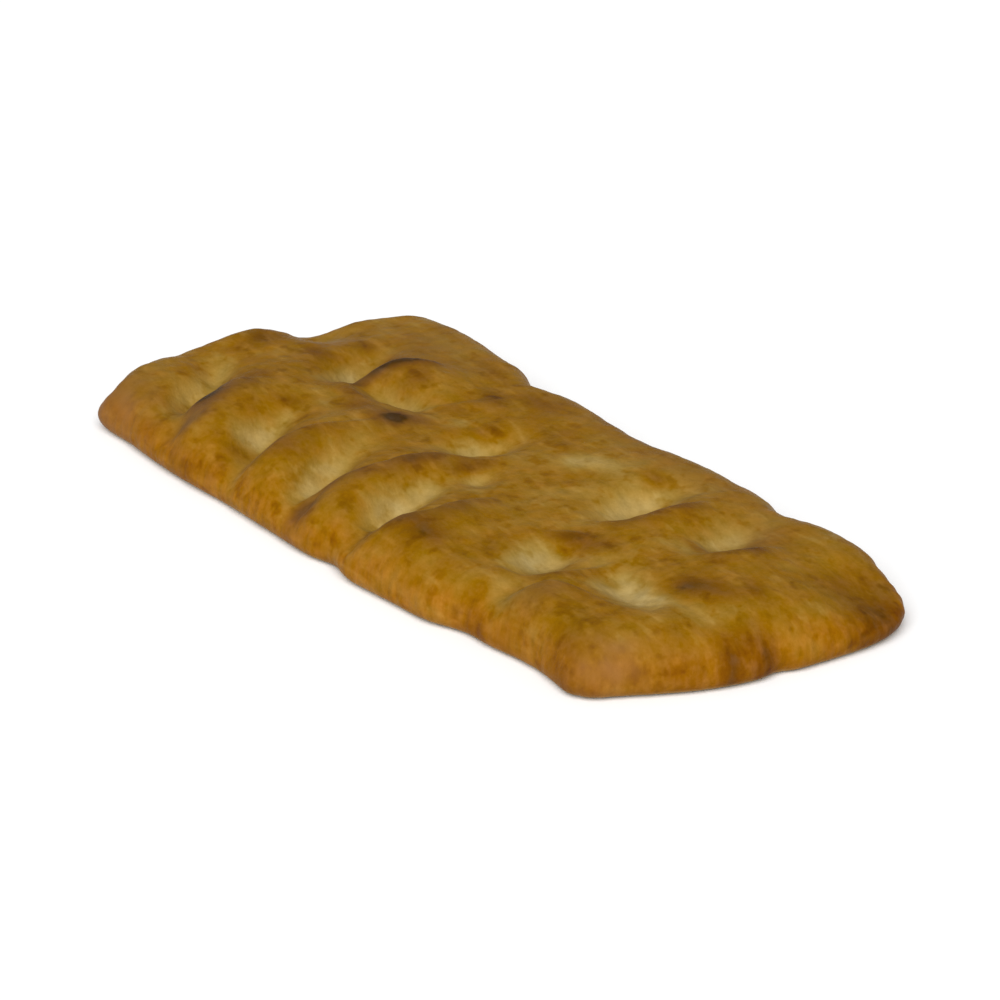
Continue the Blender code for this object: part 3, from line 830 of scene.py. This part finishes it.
def weighted_sum(tree, values, shares):
    """Adds several of the named values, each times its share."""
    total = 0.0
    for name, share in shares.items():
        total = worked_out(tree, MATH, "MULTIPLY_ADD", values[name], share, total)
    return total


def noise_node(tree, place, kind):
    """Smooth noise between 0 and 1."""
    texture = node(tree, "ShaderNodeTexNoise")
    feed(tree, texture.inputs["Scale"], kind.scale)
    feed(tree, texture.inputs["Detail"], kind.detail)
    feed(tree, texture.inputs["Vector"], place)
    return texture.outputs["Fac"]


def chance_node(tree, place, kind):
    """Smooth chance values round zero."""
    return worked_out(tree, MATH, "SUBTRACT", noise_node(tree, place, kind), NOISE_MIDDLE)


def spot_node(tree, place, spots):
    """1 in scattered spots with soft rims and 0 between them."""
    rim = node(tree, "ShaderNodeMapRange", interpolation_type="SMOOTHSTEP")
    feed(tree, rim.inputs["Value"], noise_node(tree, place, spots.noise))
    feed(tree, rim.inputs["From Min"], spots.begin)
    feed(tree, rim.inputs["From Max"], spots.full)
    return rim.outputs["Result"]


def scaled_place(tree, place, scale):
    """The places scaled along each axis, so that a noise over them is drawn out."""
    mapping = node(tree, "ShaderNodeMapping")
    feed(tree, mapping.inputs["Scale"], scale)
    feed(tree, mapping.inputs["Vector"], place)
    return mapping.outputs["Vector"]


def ramp_node(tree, value, stops, look):
    """Colour that runs through the named colours of the look as the value rises."""
    ramp = node(tree, "ShaderNodeValToRGB")
    bar = ramp.color_ramp
    while len(bar.elements) < len(stops):
        bar.elements.new(1.0)
    for element, (name, at) in zip(bar.elements, stops.items()):
        element.position = at
        element.color = (*getattr(look, name), 1)
    feed(tree, ramp.inputs["Fac"], value)
    return ramp.outputs["Color"]


def mixed(tree, factor, first, second, blend="MIX"):
    """The first colour with the second one mixed in, or multiplied in."""
    made = node(tree, "ShaderNodeMix", data_type="RGBA", blend_type=blend)
    feed(tree, made.inputs["Factor"], factor)
    feed(tree, made.inputs[MIX_FIRST], first)
    feed(tree, made.inputs[MIX_SECOND], second)
    return made.outputs[MIX_RESULT]


def crust_values(tree):
    """The values kept on the mesh and the noises that the crust's looks are made of."""
    place = node(tree, "ShaderNodeTexCoord").outputs["Object"]
    upright = scaled_place(tree, place, UPRIGHT)
    lengthwise = scaled_place(tree, place, LENGTHWISE)
    values = {
        name: node(tree, "ShaderNodeAttribute", attribute_name=name).outputs["Fac"]
        for name in ("bake", "painted_sheen", "blush", "side", "sole")
    }
    values["cloud"] = chance_node(tree, place, CLOUD)
    values["fleck"] = chance_node(tree, place, FLECK)
    values["grain"] = chance_node(tree, place, GRAIN)
    values["stretch"] = chance_node(tree, lengthwise, STRETCH)
    values["brown_spots"] = spot_node(tree, place, BROWN_SPOTS)
    values["pale_spots"] = spot_node(tree, lengthwise, PALE_SPOTS)
    streak = chance_node(tree, upright, STREAK)
    values["side_streak"] = worked_out(tree, MATH, "MULTIPLY", streak, values["side"])
    values["wander"] = noise_node(tree, place, WANDER)
    return values


def crust_colour(tree, values, look):
    """Colour by the bake tone, mottled, with the painted sheen of grazing light, the blush, the
    sides and the underside.
    """
    tone = weighted_sum(tree, values, TONE_SHARES)
    baked = ramp_node(tree, tone, TONE_STOPS, look)
    hue = ramp_node(tree, values["wander"], HUE_STOPS, look)
    hued = mixed(tree, 1, baked, hue, "MULTIPLY")
    light = weighted_sum(tree, values, LIGHT_SHARES)
    shade = worked_out(tree, MATH, "ADD", light, 1)
    lit = mixed(tree, 1, hued, shade, "MULTIPLY")
    flecked = worked_out(tree, VECTOR_MATH, "MULTIPLY_ADD", light, look.flour, lit)
    shaded = worked_out(tree, VECTOR_MATH, "MAXIMUM", flecked, (0, 0, 0))
    # painted sheen of grazing light, mixed into the colour
    with_painted_sheen = mixed(tree, values["painted_sheen"], shaded, (*look.painted_sheen, 1))
    blushed = mixed(tree, values["blush"], with_painted_sheen, (*look.blush, 1))
    warmed = mixed(tree, values["side"], blushed, (*look.warmth, 1), "MULTIPLY")
    under_tone = weighted_sum(tree, values, UNDER_SHARES)
    under = mixed(tree, under_tone, (*look.sole, 1), (*look.gold, 1))
    return mixed(tree, values["sole"], warmed, under)


def crust_material(look):
    """Baked crust, dull and faintly uneven."""
    material = bpy.data.materials.new("baked_crust")
    material.use_nodes = True
    tree = material.node_tree
    shader = tree.nodes["Principled BSDF"]
    values = crust_values(tree)
    rough = weighted_sum(tree, values, ROUGH_SHARES)
    bump = node(tree, "ShaderNodeBump")
    feed(tree, bump.inputs["Strength"], BUMP_STRENGTH)
    feed(tree, bump.inputs["Distance"], BUMP_DEPTH)
    feed(tree, bump.inputs["Height"], weighted_sum(tree, values, BUMP_SHARES))
    feed(tree, shader.inputs["Base Color"], crust_colour(tree, values, look))
    feed(tree, shader.inputs["Roughness"], worked_out(tree, MATH, "ADD", rough, look.roughness))
    feed(tree, shader.inputs["Specular IOR Level"], look.gloss)
    feed(tree, shader.inputs["Sheen Weight"], look.haze)
    feed(tree, shader.inputs["Sheen Roughness"], HAZE_ROUGHNESS)
    feed(tree, shader.inputs["Normal"], bump.outputs["Normal"])
    return material


def store(mesh, name, values):
    """Keeps one value for each point of the mesh under a name that the material reads."""
    attribute = mesh.attributes.new(name, "FLOAT", "POINT")
    attribute.data.foreach_set("value", values.astype(np.float32))


class BREAD_OT_focaccia(bpy.types.Operator):
    """Make the dimpled slab with its baked crust"""

    bl_idname = "bread.focaccia"
    bl_label = "Focaccia"

    def execute(self, context):
        sizes = context.scene.focaccia_sizes
        bm = bmesh.new()
        share = add_top(bm, sizes)
        add_foot(bm, sizes)
        bmesh.ops.recalc_face_normals(bm, faces=bm.faces)
        bm.normal_update()
        points = np.array([vert.co for vert in bm.verts])
        side = side_share(share, len(points))
        relief = fine_relief(points, side, sizes)
        tone, painted_sheen = bake_tone(points, side, sizes)
        for vert, lift in zip(bm.verts, relief):
            vert.co += vert.normal * float(lift)
        centre(bm)
        underside = max(bm.faces, key=lambda face: len(face.verts))
        for face in bm.faces:
            face.smooth = face is not underside
        mesh = bpy.data.meshes.new("focaccia_crust")
        bm.to_mesh(mesh)
        bm.free()
        store(mesh, "bake", tone)
        store(mesh, "painted_sheen", painted_sheen)
        store(mesh, "blush", blush_share(points))
        store(mesh, "side", side)
        sole = np.clip(1 - points[:, 2] / (SOLE_FADE * sizes.rim_height), 0, 1)
        store(mesh, "sole", sole)
        mesh.materials.append(crust_material(context.scene.crust_look))
        slab = bpy.data.objects.new("focaccia_crust", mesh)
        context.scene.collection.objects.link(slab)
        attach(slab, "root")
        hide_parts("focaccia")
        return {"FINISHED"}


def away(azimuth, elevation):
    """Unit vector from the middle of the slab towards a place in the studio."""
    level = math.cos(elevation)
    return Vector((math.sin(azimuth) * level, -math.cos(azimuth) * level, math.sin(elevation)))


def point_at(thing, place):
    """Turns a lamp or the camera so that it looks at a place."""
    thing.rotation_mode = "QUATERNION"
    thing.rotation_quaternion = (place - thing.location).to_track_quat("-Z", "Y")


class BREAD_OT_stage(bpy.types.Operator):
    """Make the floor, the soft light and the camera"""

    bl_idname = "bread.stage"
    bl_label = "Stage"

    def execute(self, context):
        look = context.scene.stage_look
        self.add_floor(context, look)
        self.add_light(context, look)
        self.add_camera(context, look)
        context.scene.view_settings.view_transform = "Standard"
        return {"FINISHED"}

    def add_floor(self, context, look):
        """A wide, pale, dull floor just under the slab."""
        bm = bmesh.new()
        bmesh.ops.create_grid(bm, x_segments=1, y_segments=1, size=FLOOR_HALF)
        bmesh.ops.translate(bm, verts=bm.verts, vec=(0, 0, -FLOOR_DROP))
        mesh = bpy.data.meshes.new("floor")
        bm.to_mesh(mesh)
        bm.free()
        material = bpy.data.materials.new("floor")
        material.use_nodes = True
        shader = material.node_tree.nodes["Principled BSDF"]
        shader.inputs["Base Color"].default_value = (*look.floor, 1)
        shader.inputs["Roughness"].default_value = FLOOR_ROUGHNESS
        shader.inputs["Specular IOR Level"].default_value = FLOOR_GLOSS
        mesh.materials.append(material)
        floor = bpy.data.objects.new("floor", mesh)
        context.scene.collection.objects.link(floor)

    def add_light(self, context, look):
        """Even light from all round, and one broad soft light."""
        world = bpy.data.worlds.new("studio")
        world.use_nodes = True
        sky = world.node_tree.nodes["Background"]
        sky.inputs["Color"].default_value = (1, 1, 1, 1)
        sky.inputs["Strength"].default_value = look.sky
        context.scene.world = world
        lamp = bpy.data.lights.new("key", "SUN")
        lamp.energy = look.key_strength
        lamp.angle = look.key_spread
        key = bpy.data.objects.new("key", lamp)
        key.location = away(look.key_azimuth, look.key_elevation)
        point_at(key, Vector((0, 0, 0)))
        context.scene.collection.objects.link(key)

    def add_camera(self, context, look):
        """The camera, at the photo's angle."""
        lens = bpy.data.cameras.new("camera")
        lens.lens = look.lens
        lens.sensor_width = SENSOR_WIDTH
        camera = bpy.data.objects.new("camera", lens)
        aim = Vector(look.aim)
        camera.location = aim + away(look.azimuth, look.elevation) * look.distance
        point_at(camera, aim)
        context.scene.collection.objects.link(camera)
        context.scene.camera = camera


class BREAD_PT_focaccia(bpy.types.Panel):
    """Sizes and looks of the focaccia and its stage"""

    bl_label = "Focaccia"
    bl_idname = "BREAD_PT_focaccia"
    bl_space_type = "VIEW_3D"
    bl_region_type = "UI"
    bl_category = "Bread"

    def draw(self, context):
        for group, operator in (
            (context.scene.focaccia_sizes, None),
            (context.scene.crust_look, BREAD_OT_focaccia.bl_idname),
            (context.scene.stage_look, BREAD_OT_stage.bl_idname),
        ):
            column = self.layout.column(align=True)
            for name in group.__annotations__:
                column.prop(group, name)
            if operator:
                self.layout.operator(operator)


CLASSES = (
    FocacciaSizes,
    CrustLook,
    StageLook,
    BREAD_OT_focaccia,
    BREAD_OT_stage,
    BREAD_PT_focaccia,
)


def register():
    """Makes the settings, the operators and the panel known."""
    for each in CLASSES:
        bpy.utils.register_class(each)
    bpy.types.Scene.focaccia_sizes = PointerProperty(type=FocacciaSizes)
    bpy.types.Scene.crust_look = PointerProperty(type=CrustLook)
    bpy.types.Scene.stage_look = PointerProperty(type=StageLook)


def unregister():
    """Takes the panel, the operators and the settings away again."""
    del bpy.types.Scene.stage_look
    del bpy.types.Scene.crust_look
    del bpy.types.Scene.focaccia_sizes
    for each in reversed(CLASSES):
        bpy.utils.unregister_class(each)


def main():
    """Makes the slab and its stage."""
    register()
    bpy.ops.bread.focaccia()
    bpy.ops.bread.stage()


if __name__ == "__main__":
    main()
